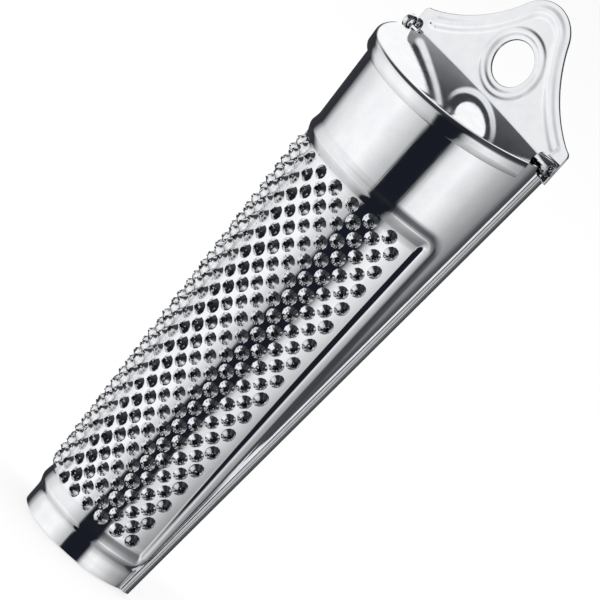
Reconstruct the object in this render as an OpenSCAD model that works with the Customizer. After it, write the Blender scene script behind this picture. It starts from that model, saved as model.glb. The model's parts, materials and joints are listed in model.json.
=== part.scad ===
// Half-round nutmeg grater with a lidded store above the grating panel.
// Millimetres, Z up, front towards -Y, back plate at +Y, origin under the middle of the open foot.

/* [Body] */
// height of the lid plate at its hinge
hinge_h = 117; // [100:0.5:135]
// outer radius of the half-round shell at the foot
foot_r = 13.7; // [12:0.1:17]
// growth of the shell radius for each millimetre of height
taper = 0.069; // [0.04:0.001:0.08]
// depth of the straight sides behind the half-round front
side_h = 2; // [1.8:0.1:3]
// thickness of the sheet metal
sheet = 0.5; // [0.4:0.05:0.7]

/* [Grating panel] */
// height of the lower edge of the toothed panel
panel_z0 = 8.3; // [7.5:0.1:12]
// height of the upper edge of the toothed panel
panel_z1 = 90.2; // [80:0.1:92]
// depth of the panel below the shell surface
panel_sink = 0.3; // [0.2:0.05:0.4]
// height of the frame ridge above the shell surface
ridge_up = 0.55; // [0.3:0.05:0.8]
// half width of the frame ridge
ridge_w = 1.5; // [1.2:0.1:1.8]
// turn of the side ridge from the side wall at the top
side_top = 20; // [16:1:24]
// turn of the side ridge from the side wall at the foot
side_low = 4; // [3:1:10]

/* [Teeth] */
// teeth along one full column
tooth_rows = 17; // [12:1:20]
// columns on each side of the middle column
tooth_cols = 4; // [2:1:4]
// angle between columns at the top of the panel
tooth_ang_top = 14; // [11:0.1:14.5]
// angle between columns at the foot of the panel
tooth_ang_low = 16; // [12:0.1:16.5]
// radius of a tooth at its root
tooth_r = 1.2; // [0.9:0.05:1.35]
// height of a tooth above the panel
tooth_h = 0.95; // [0.6:0.05:1.2]
// radius of the pierced hole
tooth_hole_r = 0.45; // [0.3:0.05:0.6]

/* [Side rails] */
// width of the shell flange held in the rail
flange_w = 0.5; // [0.4:0.05:1.2]
// clearance of the flange inside the rail
rail_gap = 0.05; // [0.02:0.01:0.1]
// distance from the hinge axis down to the rail tops
rail_drop = 2.3; // [2:0.1:4]

/* [Hanging tab] */
// height of the tab above the lid plate
tab_h = 23; // [19:0.5:28]
// half width of the tab at its base
tab_w = 23.2; // [22:0.1:25]
// height of the base corners above the lid plate
tab_corner_h = 4.9; // [4:0.1:6]
// rounding of the base corners
tab_corner_r = 1.2; // [0.8:0.1:2]
// radius of the rounded tip
tab_tip_r = 7.5; // [6:0.1:8.5]
// radius of the hollow sides
tab_side_r = 32; // [26:1:45]
// radius of the hanging hole
hole_r = 4.65; // [3.5:0.05:5]
// height of the hanging hole above the lid plate
hole_h = 8.9; // [8:0.1:10]
// distance of the pressed ring from the hole edge
ring_gap = 1.5; // [1.2:0.1:1.8]
// radius of the pressed beads
bead_r = 0.6; // [0.5:0.05:0.65]
// distance of the edge bead from the tab edge
bead_in = 2.2; // [1.8:0.1:2.6]

/* [Hinge] */
// outer radius of a hinge eye
eye_r = 1.45; // [1.3:0.05:1.7]
// length of a hinge eye
eye_len = 4; // [2:0.1:4.5]
// clearance around the lid ear in its eye
ear_gap = 0.3; // [0.25:0.05:0.4]
// width of a lid ear
ear_w = 1; // [0.8:0.05:1.1]

/* [Lid] */
// slope of the closed lid towards the front
lid_slope = 9.5; // [0:0.5:12]
// depth of the lid skirt below the plate
skirt_h = 3.4; // [2.5:0.1:5]
// clearance between skirt and shell
skirt_gap = 0.3; // [0.25:0.05:0.6]
// chamfer of the lid rim
lid_edge = 0.35; // [0.2:0.05:0.45]
// distance of the skirt ends from the back plate
skirt_end = 8.1; // [5.2:0.1:10]
// distance of the rim ends in front of the hinge axis
corner_end = 6.4; // [4:0.1:8]
// gap between lid plate and shell rim
lid_lift = 0.15; // [0.1:0.05:0.3]

/* [Store floor] */
// height of the floor above the panel
floor_up = 4.6; // [4.2:0.1:8]
// clearance of the floor in the shell
floor_gap = 0.05; // [0.04:0.01:0.1]

/* [Hidden] */
$fn = 96;
eps = 0.04 * sheet;
over = 4 * sheet;
far = hinge_h + tab_h + 2 * foot_r;
lean = atan(taper);
shell_top = hinge_h + 4;
flange_y = sheet - rail_gap;
rail_out = sheet + rail_gap + flange_y / 2 - rail_gap / 2;
rail_in = rail_out - sheet;
rail_y = -rail_in;
rail_top = hinge_h - rail_drop;
eye_in = eye_r - 1.2 * sheet;
eye_sink = 0.6 * sheet;
axis_y = -(eye_r - eye_sink);
ear_t = 2 * sqrt(pow(eye_in - ear_gap, 2) - pow(ear_w / 2, 2));
plate_z = ear_t < sheet ? ear_t : sheet;
lid_reach = side_h + rad(hinge_h) + skirt_gap + axis_y + skirt_h * (sin(lid_slope) - taper * cos(lid_slope));
lid_front = lid_reach / (cos(lid_slope) + taper * sin(lid_slope)) - axis_y - side_h;
lid_in = max(lid_front, rad(hinge_h) + skirt_gap);
lid_out = lid_in + sheet;
lid_back = tab_w - eye_len - ear_gap;
corner_x = sqrt(lid_out * lid_out - pow(corner_end - axis_y - side_h, 2));
cut_y = eye_r + ear_gap - 2 * corner_end;
ring_r = hole_r + ring_gap + bead_r / 2;
tip_z = tab_h - tab_tip_r;
base_x = tab_w - tab_corner_r;
side_d = norm([base_x, tab_corner_h - tip_z]);
side_a = (pow(tab_side_r + tab_tip_r, 2) - pow(tab_side_r, 2) + side_d * side_d) / (2 * side_d);
side_b = sqrt(pow(tab_side_r + tab_tip_r, 2) - side_a * side_a);
side_u = [base_x, tab_corner_h - tip_z] / side_d;
side_c = [0, tip_z] + side_a * side_u + side_b * [-side_u[1], side_u[0]];
side_mid = (side_low + side_top) / 2;
side_end = [for (a = [[side_low, panel_z0 - ridge_w], [side_top, panel_z1 + ridge_w]])
    [rad(a[1]) * cos(a[0]), -side_h - rad(a[1]) * sin(a[0]), a[1]]];
side_run = side_end[1] - side_end[0];
band_low = panel_z0 - 2 * ridge_w;
band_high = panel_z1 + 2 * ridge_w;
tip_touch = [0, tip_z] + (side_c - [0, tip_z]) * tab_tip_r / (tab_tip_r + tab_side_r);
tooth_z0 = panel_z0 + 1.4 * tooth_r;
tooth_z1 = panel_z1 - 1.4 * tooth_r;
tooth_step = (tooth_z1 - tooth_z0) / (tooth_rows - 0.5);
floor_z = panel_z1 + floor_up;
rim_z = plate_z / 2 - lid_edge;
front_y = axis_y + (-axis_y - side_h - lid_out) * cos(lid_slope) - rim_z * sin(lid_slope);
mid_y = (sheet + front_y) / 2;

// outer radius of the plain shell at a height
function rad(z) = foot_r + taper * z;

// moves the shell axis back so that the origin lies under the middle of the whole depth
module placed() {
    translate([0, -mid_y, 0])
        children();
}

// half-turn of a profile on the front side, about the axis between the straight sides
module front_turn() {
    translate([0, -side_h, 0])
        rotate([0, 0, 180])
            rotate_extrude(angle = 180)
                children();
}

// sheet profile that follows a list of [height, offset] steps down the shell
module sheet_profile(steps) {
    n = len(steps);
    polygon(concat(
        [for (i = [0 : n - 1]) [rad(steps[i][0]) + steps[i][1], steps[i][0]]],
        [for (i = [n - 1 : -1 : 0]) [rad(steps[i][0]) + steps[i][1] - sheet, steps[i][0]]]
    ));
}

// straight ridge beside the panel, from the foot to the top
module side_ridge() {
    way = atan2(side_run[1], side_run[0]);
    translate(side_end[0])
        rotate([0, acos(side_run[2] / norm(side_run)), way])
            rotate([0, 0, -side_mid - way])
                linear_extrude(height = norm(side_run))
                    polygon([
                        [-sheet - panel_sink, -ridge_w],
                        [-panel_sink, -ridge_w],
                        [ridge_up, -ridge_w / 4],
                        [ridge_up, ridge_w / 4],
                        [-eps, ridge_w],
                        [-sheet, ridge_w]
                    ]);
}

// everything in front of the two side ridges
module panel_side(step) {
    translate(side_end[0] - [0, step, 0])
        rotate([atan2(-side_run[1], side_run[2]), 0, 0])
            translate([-far, -far, -far])
                cube([2 * far, far, 3 * far]);
}

// everything above the closed lid's underside
module above_lid(lift) {
    translate([0, axis_y, hinge_h])
        rotate([lid_slope, 0, 0])
            translate([-far, -far, -plate_z / 2 - lift])
                cube([2 * far, 2 * far, far]);
}

// upright strip of the shell side, standing forward from the back plate
module side_strip(top, in, out, deep) {
    rotate([90, 0, 0])
        linear_extrude(height = deep)
            polygon([
                [rad(0) - in, 0],
                [rad(0) + out, 0],
                [rad(top) + out, top],
                [rad(top) - in, top]
            ]);
}

module grater_shell() {
    color("Silver")
        placed()
            difference() {
                union() {
                    difference() {
                        front_turn()
                            sheet_profile([[0, 0], [shell_top, 0]]);
                        intersection() {
                            panel_side(sheet / 5);
                            translate([-far, -far, band_low])
                                cube([2 * far, 2 * far, band_high - band_low]);
                        }
                    }
                    intersection() {
                        front_turn()
                            sheet_profile([
                                [band_low - ridge_w / 2, -eps],
                                [panel_z0 - ridge_w * 1.25, ridge_up],
                                [panel_z0 - ridge_w * 0.75, ridge_up],
                                [panel_z0, -panel_sink],
                                [panel_z1, -panel_sink],
                                [panel_z1 + ridge_w * 0.75, ridge_up],
                                [panel_z1 + ridge_w * 1.25, ridge_up],
                                [band_high + ridge_w / 2, -eps]
                            ]);
                        panel_side(0);
                    }
                    for (side = [0, 1])
                        mirror([side, 0, 0]) {
                            side_ridge();
                            side_strip(shell_top, sheet, 0, side_h);
                            side_strip(rail_top, sheet / 2, flange_w, flange_y);
                        }
                }
                above_lid(lid_lift);
                translate([-far, axis_y - eye_r - ear_gap, hinge_h - eye_r - ear_gap])
                    cube([2 * far, far, far]);
            }
}

module tooth() {
    difference() {
        translate([0, 0, -panel_sink / 2])
            cylinder(r1 = tooth_r, r2 = tooth_r * 0.65, h = tooth_h + panel_sink / 2);
        translate([0, 0, -panel_sink])
            cylinder(r = tooth_hole_r, h = tooth_h + 2 * panel_sink);
    }
}

module grating_teeth() {
    color("Gainsboro")
        placed()
            for (i = [0 : 2 * tooth_rows - 1]) {
                z = tooth_z0 + i * tooth_step / 2;
                odd = i % 2;
                part = (z - tooth_z0) / (tooth_z1 - tooth_z0);
                pitch = tooth_ang_low + (tooth_ang_top - tooth_ang_low) * part;
                for (k = [-tooth_cols : tooth_cols - odd])
                    translate([0, -side_h, z])
                        rotate([0, 0, 270 + (k + odd / 2) * pitch])
                            translate([rad(z) - panel_sink, 0, 0])
                                rotate([0, 90 + lean, 0])
                                    tooth();
            }
}

module store_floor() {
    low = rad(floor_z) - sheet - floor_gap;
    high = low + taper * sheet;
    floor_top = floor_z + sheet;
    color("LightGray")
        placed() {
            front_turn()
                polygon([[0, floor_z], [low, floor_z], [high, floor_top], [0, floor_top]]);
            translate([0, -side_h, 0])
                mirror([0, 1, 0])
                    rotate([90, 0, 0])
                        linear_extrude(height = side_h - floor_gap)
                            polygon([[-low, floor_z], [low, floor_z], [high, floor_top], [-high, floor_top]]);
        }
}

// half section of the rail that is folded round the shell flange
module rail_section() {
    difference() {
        union() {
            intersection() {
                translate([flange_w + rail_gap, rail_y])
                    circle(r = rail_out);
                translate([flange_w + rail_gap, rail_y - rail_out])
                    square([rail_out, 2 * rail_out]);
            }
            translate([2 * rail_gap, rail_y - rail_out])
                square([flange_w - rail_gap, sheet]);
            translate([-2 * sheet, 0])
                square([flange_w + 2 * sheet + rail_gap, sheet]);
        }
        translate([flange_w + rail_gap, rail_y])
            circle(r = rail_in);
        translate([-over, rail_y - rail_in])
            square([flange_w + over + rail_gap, 2 * rail_in]);
    }
}

module rail() {
    intersection() {
        translate([rad(-over), 0, -over])
            rotate([0, lean, 0])
                linear_extrude(height = hinge_h + 2 * over)
                    rail_section();
        translate([-far, -far, 0])
            cube([2 * far, 2 * far, rail_top]);
    }
}

module tab_outline() {
    difference() {
        union() {
            polygon([
                [-tab_w, -rail_drop - sheet],
                [tab_w, -rail_drop - sheet],
                [tab_w, tab_corner_h - tab_corner_r],
                [base_x, tab_corner_h],
                tip_touch,
                [-tip_touch[0], tip_touch[1]],
                [-base_x, tab_corner_h],
                [-tab_w, tab_corner_h - tab_corner_r]
            ]);
            for (side = [-1, 1])
                translate([side * base_x, tab_corner_h - tab_corner_r])
                    circle(r = tab_corner_r);
        }
        for (side = [-1, 1])
            translate([side * side_c[0], side_c[1]])
                circle(r = tab_side_r);
    }
    translate([0, tip_z])
        circle(r = tab_tip_r);
}

// stands a drawing of the tab upright on the front face of the plate
module on_tab() {
    translate([0, 0, hinge_h])
        rotate([90, 0, 0])
            children();
}

module bead_ring(r) {
    rotate_extrude()
        translate([r, 0])
            circle(r = bead_r);
}

// bead pressed along the hollow sides and round the tip of the tab
module edge_bead() {
    tip_a = atan2(side_c[1] - tip_z, side_c[0]);
    tip_gap = 2 * eps / (tab_tip_r - bead_in) * 180 / PI;
    low_a = atan2(tab_corner_h - side_c[1], base_x - side_c[0]) + 360;
    for (side = [0, 1])
        mirror([side, 0, 0])
            translate(side_c)
                rotate([0, 0, tip_a + 180])
                    rotate_extrude(angle = low_a - tip_a - 182)
                        translate([tab_side_r + bead_in, 0])
                            circle(r = bead_r);
    translate([0, tip_z])
        rotate([0, 0, tip_a + tip_gap])
            rotate_extrude(angle = 180 - 2 * (tip_a + tip_gap))
                translate([tab_tip_r - bead_in, 0])
                    circle(r = bead_r);
}

module back_plate() {
    color("LightSteelBlue")
        placed()
            difference() {
                union() {
                    translate([0, sheet, 0])
                        rotate([90, 0, 0])
                            linear_extrude(height = sheet) {
                                polygon([
                                    [-rad(0), 0],
                                    [rad(0), 0],
                                    [rad(rail_top), rail_top],
                                    [rad(rail_top), rail_top + over],
                                    [-rad(rail_top), rail_top + over],
                                    [-rad(rail_top), rail_top]
                                ]);
                                translate([0, hinge_h])
                                    tab_outline();
                            }
                    for (side = [0, 1])
                        mirror([side, 0, 0]) {
                            rail();
                            translate([tab_w - eye_len, axis_y, hinge_h])
                                rotate([0, 90, 0])
                                    cylinder(r = eye_r, h = eye_len - 2 * eps);
                        }
                    intersection() {
                        on_tab() {
                            translate([0, hole_h, 0])
                                bead_ring(ring_r);
                            edge_bead();
                        }
                        translate([-far, -far, 0])
                            cube([2 * far, far + sheet / 2, 2 * far]);
                    }
                }
                for (side = [0, 1])
                    mirror([side, 0, 0])
                        translate([tab_w - eye_len - sheet, axis_y, hinge_h])
                            rotate([0, 90, 0])
                                cylinder(r = eye_in, h = eye_len + 2 * sheet);
                on_tab()
                    translate([0, hole_h, -over])
                        cylinder(r = hole_r, h = 2 * over);
            }
}

module lid() {
    color("WhiteSmoke")
        placed()
            translate([0, axis_y, hinge_h])
                rotate([lid_slope, 0, 0]) {
                    difference() {
                        translate([0, -axis_y, 0])
                            front_turn()
                                polygon([
                                    [0, -plate_z / 2],
                                    [lid_in, -plate_z / 2],
                                    [lid_in, -skirt_h],
                                    [lid_out, -skirt_h],
                                    [lid_out, plate_z / 2 - lid_edge],
                                    [lid_out - lid_edge, plate_z / 2],
                                    [0, plate_z / 2]
                                ]);
                        translate([-far, -axis_y - skirt_end, -far])
                            cube([2 * far, far, far - plate_z / 2]);
                        for (side = [0, 1])
                            mirror([side, 0, 0])
                                translate([0, 0, -far])
                                    linear_extrude(height = 2 * far)
                                        polygon([
                                            [lid_back, -eye_r - ear_gap],
                                            [2 * corner_x - lid_back, cut_y],
                                            [far, cut_y],
                                            [far, far],
                                            [lid_back, far]
                                        ]);
                    }
                    translate([0, 0, -plate_z / 2])
                        linear_extrude(height = plate_z)
                            polygon([
                                [-lid_back, -eye_r - ear_gap],
                                [lid_back, -eye_r - ear_gap],
                                [lid_back, -ear_w / 2],
                                [tab_w, -ear_w / 2],
                                [tab_w, ear_w / 2],
                                [-tab_w, ear_w / 2],
                                [-tab_w, -ear_w / 2],
                                [-lid_back, -ear_w / 2]
                            ]);
                }
}

back_plate();
grater_shell();
grating_teeth();
store_floor();
lid();
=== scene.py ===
import bpy
import bmesh
import json
import math
import random
from mathutils import Matrix, Vector
from mathutils.geometry import delaunay_2d_cdt

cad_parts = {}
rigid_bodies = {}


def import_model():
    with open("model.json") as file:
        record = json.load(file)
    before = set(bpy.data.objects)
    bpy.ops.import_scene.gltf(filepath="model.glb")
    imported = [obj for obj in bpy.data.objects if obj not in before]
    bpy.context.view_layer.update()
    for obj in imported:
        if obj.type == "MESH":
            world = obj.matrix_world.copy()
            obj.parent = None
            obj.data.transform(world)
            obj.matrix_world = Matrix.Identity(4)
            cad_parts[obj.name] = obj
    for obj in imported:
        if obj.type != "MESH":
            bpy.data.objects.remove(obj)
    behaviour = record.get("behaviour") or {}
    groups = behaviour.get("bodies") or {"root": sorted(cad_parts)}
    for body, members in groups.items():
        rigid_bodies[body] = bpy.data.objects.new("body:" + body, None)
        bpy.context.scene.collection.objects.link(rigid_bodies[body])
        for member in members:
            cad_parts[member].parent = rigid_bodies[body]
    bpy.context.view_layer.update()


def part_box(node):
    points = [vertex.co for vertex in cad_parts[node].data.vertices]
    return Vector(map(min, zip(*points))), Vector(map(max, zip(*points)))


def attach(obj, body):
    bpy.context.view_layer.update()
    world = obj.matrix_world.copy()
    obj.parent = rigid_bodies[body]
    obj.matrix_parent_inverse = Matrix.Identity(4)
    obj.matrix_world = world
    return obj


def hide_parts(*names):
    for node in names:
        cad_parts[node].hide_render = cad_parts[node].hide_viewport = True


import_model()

mm = 0.001
weldGap = 1e-7  # in metres
slack = 1e-6    # in mm or degrees
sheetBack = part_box("back_plate")[1][1] / mm  # row y of the plate's back face, in mm

# sizes that several pieces share, in mm, with y = 0 on the front face of the back plate
body = dict(
    hingeHeight=117.0,
    footRadius=13.7,
    taper=0.069,
    sideDepth=2.0,
    sheet=0.5,
    lidSlope=9.5,
    hingeY=-1.15,
    plateThick=0.458,
)
yShift = sheetBack - body["sheet"]


def shellRadius(z):
    return body["footRadius"] + body["taper"] * z


def lerp(a, b, t):
    return a + (b - a) * t


def spread(a, b, count):
    return [lerp(a, b, i / count) for i in range(count)]


def spreadAll(stops, counts):
    return [x for a, b, count in zip(stops, stops[1:], counts) for x in spread(a, b, count)]


def smoothCurve(knots, x):
    # curve through (position, height) knots that never overshoots them
    if x <= knots[0][0]:
        return knots[0][1]
    if x >= knots[-1][0]:
        return knots[-1][1]
    slopes = [(b[1] - a[1]) / (b[0] - a[0]) for a, b in zip(knots, knots[1:])]
    tangents = [slopes[0]]
    for a, b in zip(slopes, slopes[1:]):
        tangents.append(0.0 if a * b <= 0 else 2 * a * b / (a + b))
    tangents.append(0.0)
    for i, (left, right) in enumerate(zip(knots, knots[1:])):
        if x <= right[0]:
            span = right[0] - left[0]
            t = (x - left[0]) / span
            return ((2 * t ** 3 - 3 * t ** 2 + 1) * left[1] + (t ** 3 - 2 * t ** 2 + t) * span * tangents[i]
                    + (3 * t ** 2 - 2 * t ** 3) * right[1] + (t ** 3 - t ** 2) * span * tangents[i + 1])


def pieceFromData(name, points, faces, material, creaseDeg):
    mesh = bpy.data.meshes.new(name)
    mesh.from_pydata([(x * mm, (y + yShift) * mm, z * mm) for x, y, z in points], [], faces)
    work = bmesh.new()
    work.from_mesh(mesh)
    bmesh.ops.remove_doubles(work, verts=work.verts, dist=weldGap)
    bmesh.ops.recalc_face_normals(work, faces=work.faces)
    work.to_mesh(mesh)
    work.free()
    mesh.materials.append(material)
    mesh.shade_smooth()
    mesh.set_sharp_from_angle(angle=math.radians(creaseDeg))
    piece = bpy.data.objects.new(name, mesh)
    bpy.context.scene.collection.objects.link(piece)
    return piece


def gridFaces(start, rows, cols, flip=False, closed=False):
    faces = []
    for r in range(rows - 1):
        for c in range(cols if closed else cols - 1):
            a = start + r * cols + c
            b = start + r * cols + (c + 1) % cols
            quad = (a, b, b + cols, a + cols)
            faces.append(quad[::-1] if flip else quad)
    return faces


# materials

def addNode(tree, kind, **values):
    node = tree.nodes.new(kind)
    for key, value in values.items():
        if hasattr(node, key):
            setattr(node, key, value)
        else:
            node.inputs[key.replace("_", " ")].default_value = value
    return node


def mathOf(tree, op, *parts):
    node = addNode(tree, "ShaderNodeMath", operation=op)
    for socket, part in zip(node.inputs, parts):
        if isinstance(part, (int, float)):
            socket.default_value = part
        else:
            tree.links.new(part, socket)
    return node.outputs[0]


def mixShaders(tree, *parts):
    # factor, then the shader at 0 and the shader at 1
    node = addNode(tree, "ShaderNodeMixShader")
    for socket, part in zip(node.inputs, parts):
        tree.links.new(part, socket)
    return node.outputs[0]


def polishedSteel(name, look):
    mat = bpy.data.materials.new(name)
    mat.use_nodes = True
    tree = mat.node_tree
    link = tree.links.new
    shader = tree.nodes["Principled BSDF"]
    shader.inputs["Metallic"].default_value = 1.0
    coord = addNode(tree, "ShaderNodeTexCoord")
    # faint stains in the colour
    stain = addNode(tree, "ShaderNodeTexNoise", Scale=look["stainScale"], Detail=4.0, Roughness=0.6)
    link(coord.outputs["Object"], stain.inputs["Vector"])
    tone = addNode(tree, "ShaderNodeValToRGB")
    stops = zip(look["stainRange"], (look["stain"], look["clean"]))
    for element, (at, colour) in zip(tone.color_ramp.elements, stops):
        element.position = at
        element.color = (*colour, 1)
    link(stain.outputs["Fac"], tone.inputs["Fac"])
    link(tone.outputs["Color"], shader.inputs["Base Color"])
    # handling marks change the gloss
    haze = addNode(tree, "ShaderNodeTexNoise", Scale=look["hazeScale"], Detail=5.0, Roughness=0.65)
    link(coord.outputs["Object"], haze.inputs["Vector"])
    gloss = addNode(tree, "ShaderNodeMapRange")
    for end, side in enumerate(("Min", "Max")):
        gloss.inputs["From " + side].default_value = look["hazeRange"][end]
        gloss.inputs["To " + side].default_value = look["rough"][end]
    link(haze.outputs["Fac"], gloss.inputs["Value"])
    link(gloss.outputs["Result"], shader.inputs["Roughness"])
    # rolling lines of the sheet, then the slow waves left by pressing
    lines = addNode(tree, "ShaderNodeMapping")
    lines.inputs["Scale"].default_value = look["lineStretch"]
    link(coord.outputs["Object"], lines.inputs["Vector"])
    rolled = addNode(tree, "ShaderNodeTexNoise", Scale=look["lineScale"], Detail=3.0)
    link(lines.outputs["Vector"], rolled.inputs["Vector"])
    lineBump = addNode(tree, "ShaderNodeBump", Strength=look["lineBump"], Distance=look["lineHeight"])
    link(rolled.outputs["Fac"], lineBump.inputs["Height"])
    wave = addNode(tree, "ShaderNodeTexNoise", Scale=look["waveScale"], Detail=1.0)
    link(coord.outputs["Object"], wave.inputs["Vector"])
    waveBump = addNode(tree, "ShaderNodeBump", Strength=look["waveBump"], Distance=look["waveHeight"])
    link(wave.outputs["Fac"], waveBump.inputs["Height"])
    link(lineBump.outputs["Normal"], waveBump.inputs["Normal"])
    link(waveBump.outputs["Normal"], shader.inputs["Normal"])
    return mat


def steelLook(**changes):
    look = dict(
        clean=(0.94, 0.95, 0.965),
        stain=(0.885, 0.9, 0.92),
        stainScale=260.0,
        stainRange=(0.36, 0.62),
        rough=(0.04, 0.08),
        hazeScale=420.0,
        hazeRange=(0.35, 0.7),
        lineStretch=(1.0, 1.0, 0.04),
        lineScale=2600.0,
        lineBump=0.05,
        lineHeight=0.0001,
        waveScale=90.0,
        waveBump=0.05,
        waveHeight=0.001,
    )
    look.update(changes)
    return look


shellSteel = polishedSteel("shell_steel_polished", steelLook())
plateSteel = polishedSteel("plate_steel_polished", steelLook(
    rough=(0.06, 0.11), lineBump=0.02, waveBump=0.04))
lidSteel = polishedSteel("lid_steel_mirror", steelLook(
    rough=(0.04, 0.09), lineStretch=(0.04, 1.0, 1.0), waveScale=70.0, waveBump=0.035))
toothSteel = polishedSteel("tooth_steel_torn", steelLook(
    stain=(0.86, 0.87, 0.89), stainScale=900.0,
    rough=(0.03, 0.08), lineBump=0.03, lineStretch=(1.0, 1.0, 1.0)))
# painted shade: near-black steel that stands in for the shade inside the punched holes and under the torn
# lips
toothShadeSteel = polishedSteel("tooth_steel_painted_shade", steelLook(
    clean=(0.15, 0.155, 0.165), stain=(0.08, 0.082, 0.09), stainScale=900.0,
    rough=(0.3, 0.5), lineBump=0.05, lineStretch=(1.0, 1.0, 1.0)))
railSteel = polishedSteel("rail_steel_ribbed", steelLook(
    rough=(0.06, 0.12), lineStretch=(0.05, 0.05, 1.0), lineScale=2200.0, lineBump=0.12))
floorSteel = polishedSteel("floor_steel_dull", steelLook(
    clean=(0.78, 0.785, 0.80), stain=(0.6, 0.6, 0.61), rough=(0.16, 0.32)))
print("materials ready")


# shell: tapered half round with flanges, and a pressed frame round the sunken panel

shell = dict(
    wall=0.44,
    flangeOut=0.34,
    flangeFace=0.45,
    fillet=0.25,
    panelLow=8.3,
    panelHigh=90.2,
    borderLow=4.45,   # run along the wall from the plate to the panel border, at the foot end
    borderHigh=10.5,
    borderBow=0.5,
    sideClear=0.95,   # plain run that the frame leaves beside the plate
    steepWidth=1.1,
    # distance outside the panel border, height over the plain wall
    sideKnots=[(0.0, -0.35), (0.06, -0.32), (0.98, 0.36), (1.1, 0.4), (1.8, 0.48), (2.3, 0.5),
               (2.8, 0.44), (4.0, 0.13), (5.2, 0.0)],
    topKnots=[(0.0, -0.35), (1.75, 0.32), (2.2, 0.42), (2.6, 0.37), (4.1, 0.03), (4.5, 0.0)],
    footKnots=[(0.0, -0.35), (1.75, 0.06), (2.3, 0.13), (2.8, 0.06), (4.0, -0.29), (4.6, -0.33),
               (8.3, -0.15)],
    plainRun=0.8,   # the frame dies out before it meets the rail
    fadeRun=1.6,
    flatTurn=58.0,   # the pressed panel is a little flatter here, between two slight swells
    flatWidth=30.0,
    swell=0.07,
    swellFade=6.0,
    notchDepth=2.9,
    notchHeight=115.25,
    lidLift=0.15,
    # mesh cuts round the wall: flange, fillet, then side, frame, steep step, panel edge and panel
    flangeStep=0.75,
    filletCuts=4,
    filletGap=0.08,
    edgeRun=1.0,
    runCuts=(10, 20, 9, 4, 44),
    # mesh levels up the wall: foot band, then foot frame, panel and top frame, then the store
    footLevels=(0.0, 0.2, 1.0, 1.8, 2.6),
    frameLow=3.4,
    levelCuts=(28, 56, 28),
    storeGap=0.5,
    storeCuts=14,
    creaseDeg=28,
)


def borderRun(z):
    part = (z - shell["panelLow"]) / (shell["panelHigh"] - shell["panelLow"])
    bow = shell["borderBow"] * 4 * part * (1 - part) if 0 < part < 1 else 0.0
    return lerp(shell["borderLow"], shell["borderHigh"], part) + bow


def sideWidth(z):
    # the frame narrows towards the foot, where the border comes close to the rail
    return min(shell["sideKnots"][-1][0], borderRun(z) - shell["sideClear"])


def sideLift(away, z):
    steep = shell["steepWidth"]
    if away > steep:
        away = steep + (away - steep) * (shell["sideKnots"][-1][0] - steep) / (sideWidth(z) - steep)
    return smoothCurve(shell["sideKnots"], away)


def frameLift(run, z):
    side = borderRun(z) - run
    low, high = shell["panelLow"] - z, z - shell["panelHigh"]
    end = max(low, high)
    endKnots = shell["footKnots"] if low > high else shell["topKnots"]
    fade = min(1.0, max(0.0, (run - shell["plainRun"]) / shell["fadeRun"]))
    if side <= 0 or end <= 0:
        return sideLift(side, z) * fade if side > end else smoothCurve(endKnots, end)
    away = math.hypot(side, end)
    share = math.atan2(end, side) / (math.pi / 2)
    share = share * share * (3 - 2 * share)
    lift = lerp(sideLift(away, z), smoothCurve(endKnots, away), share)
    return lift * fade


def swellLift(run, z):
    turn = math.degrees((run - body["sideDepth"]) / shellRadius(z))
    away = (turn - shell["flatTurn"]) / shell["flatWidth"]
    share = min(1.0, max(0.0, (shell["panelHigh"] - z) / shell["swellFade"]))
    return shell["swell"] * share * (1 - math.cos(2 * math.pi * away)) / 2 if abs(away) < 1 else 0.0


def wallPoint(run, z, lift):
    r = shellRadius(z) + lift
    if run <= body["sideDepth"]:
        return (r, -run, z)
    turn = (run - body["sideDepth"]) / shellRadius(z)
    return (r * math.cos(turn), -body["sideDepth"] - r * math.sin(turn), z)


def rimHeight(y):
    if y > -shell["notchDepth"]:
        return shell["notchHeight"]
    slope = math.radians(body["lidSlope"])
    drop = (body["plateThick"] / 2 + shell["lidLift"]) / math.cos(slope)
    return body["hingeHeight"] + (y - body["hingeY"]) * math.tan(slope) - drop


def shellHalfRow(z, top):
    # right half of one row, from the flange end to the front middle
    # top is the share of the way to the rim, in the store wall only
    r0 = shellRadius(z)
    face = shell["flangeFace"]
    fillet = shell["fillet"]
    flange = [(shell["flangeOut"], face), (shell["flangeOut"] * shell["flangeStep"], face)]
    for i in range(shell["filletCuts"] + 1):
        a = math.radians(90 + 90 * i / shell["filletCuts"])
        flange.append((fillet + fillet * math.cos(a), face + fillet - fillet * math.sin(a)))
    border = borderRun(z)
    frameEnd = border - sideWidth(z)
    front = body["sideDepth"] + r0 * math.pi / 2
    stops = [face + fillet + shell["filletGap"], frameEnd, border - shell["steepWidth"],
             border, border + shell["edgeRun"], front]
    row = [(r0 + out, -deep, z) for out, deep in flange]
    for run in spreadAll(stops, shell["runCuts"]) + [front]:
        row.append(wallPoint(run, z, frameLift(run, z) + swellLift(run, z)))
    if top is None:
        return row
    lifted = []
    for x, y, _ in row:
        height = lerp(z, rimHeight(y), top)
        grow = shellRadius(height) - r0
        if y < -body["sideDepth"]:
            far = math.hypot(x, y + body["sideDepth"])
            lifted.append((x * (1 + grow / far), y + (y + body["sideDepth"]) * grow / far, height))
        else:
            lifted.append((x + grow, y, height))
    return lifted


def shellRows():
    low, high = shell["panelLow"], shell["panelHigh"]
    wide = shell["topKnots"][-1][0]
    levels = list(shell["footLevels"])
    levels += spreadAll([shell["frameLow"], low, high, high + wide], shell["levelCuts"])
    levels += [high + wide, high + wide + shell["storeGap"]]
    rows = [(z, None) for z in levels]
    base = high + wide + 2 * shell["storeGap"]
    rows += [(base, i / shell["storeCuts"]) for i in range(shell["storeCuts"] + 1)]
    return rows


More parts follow.
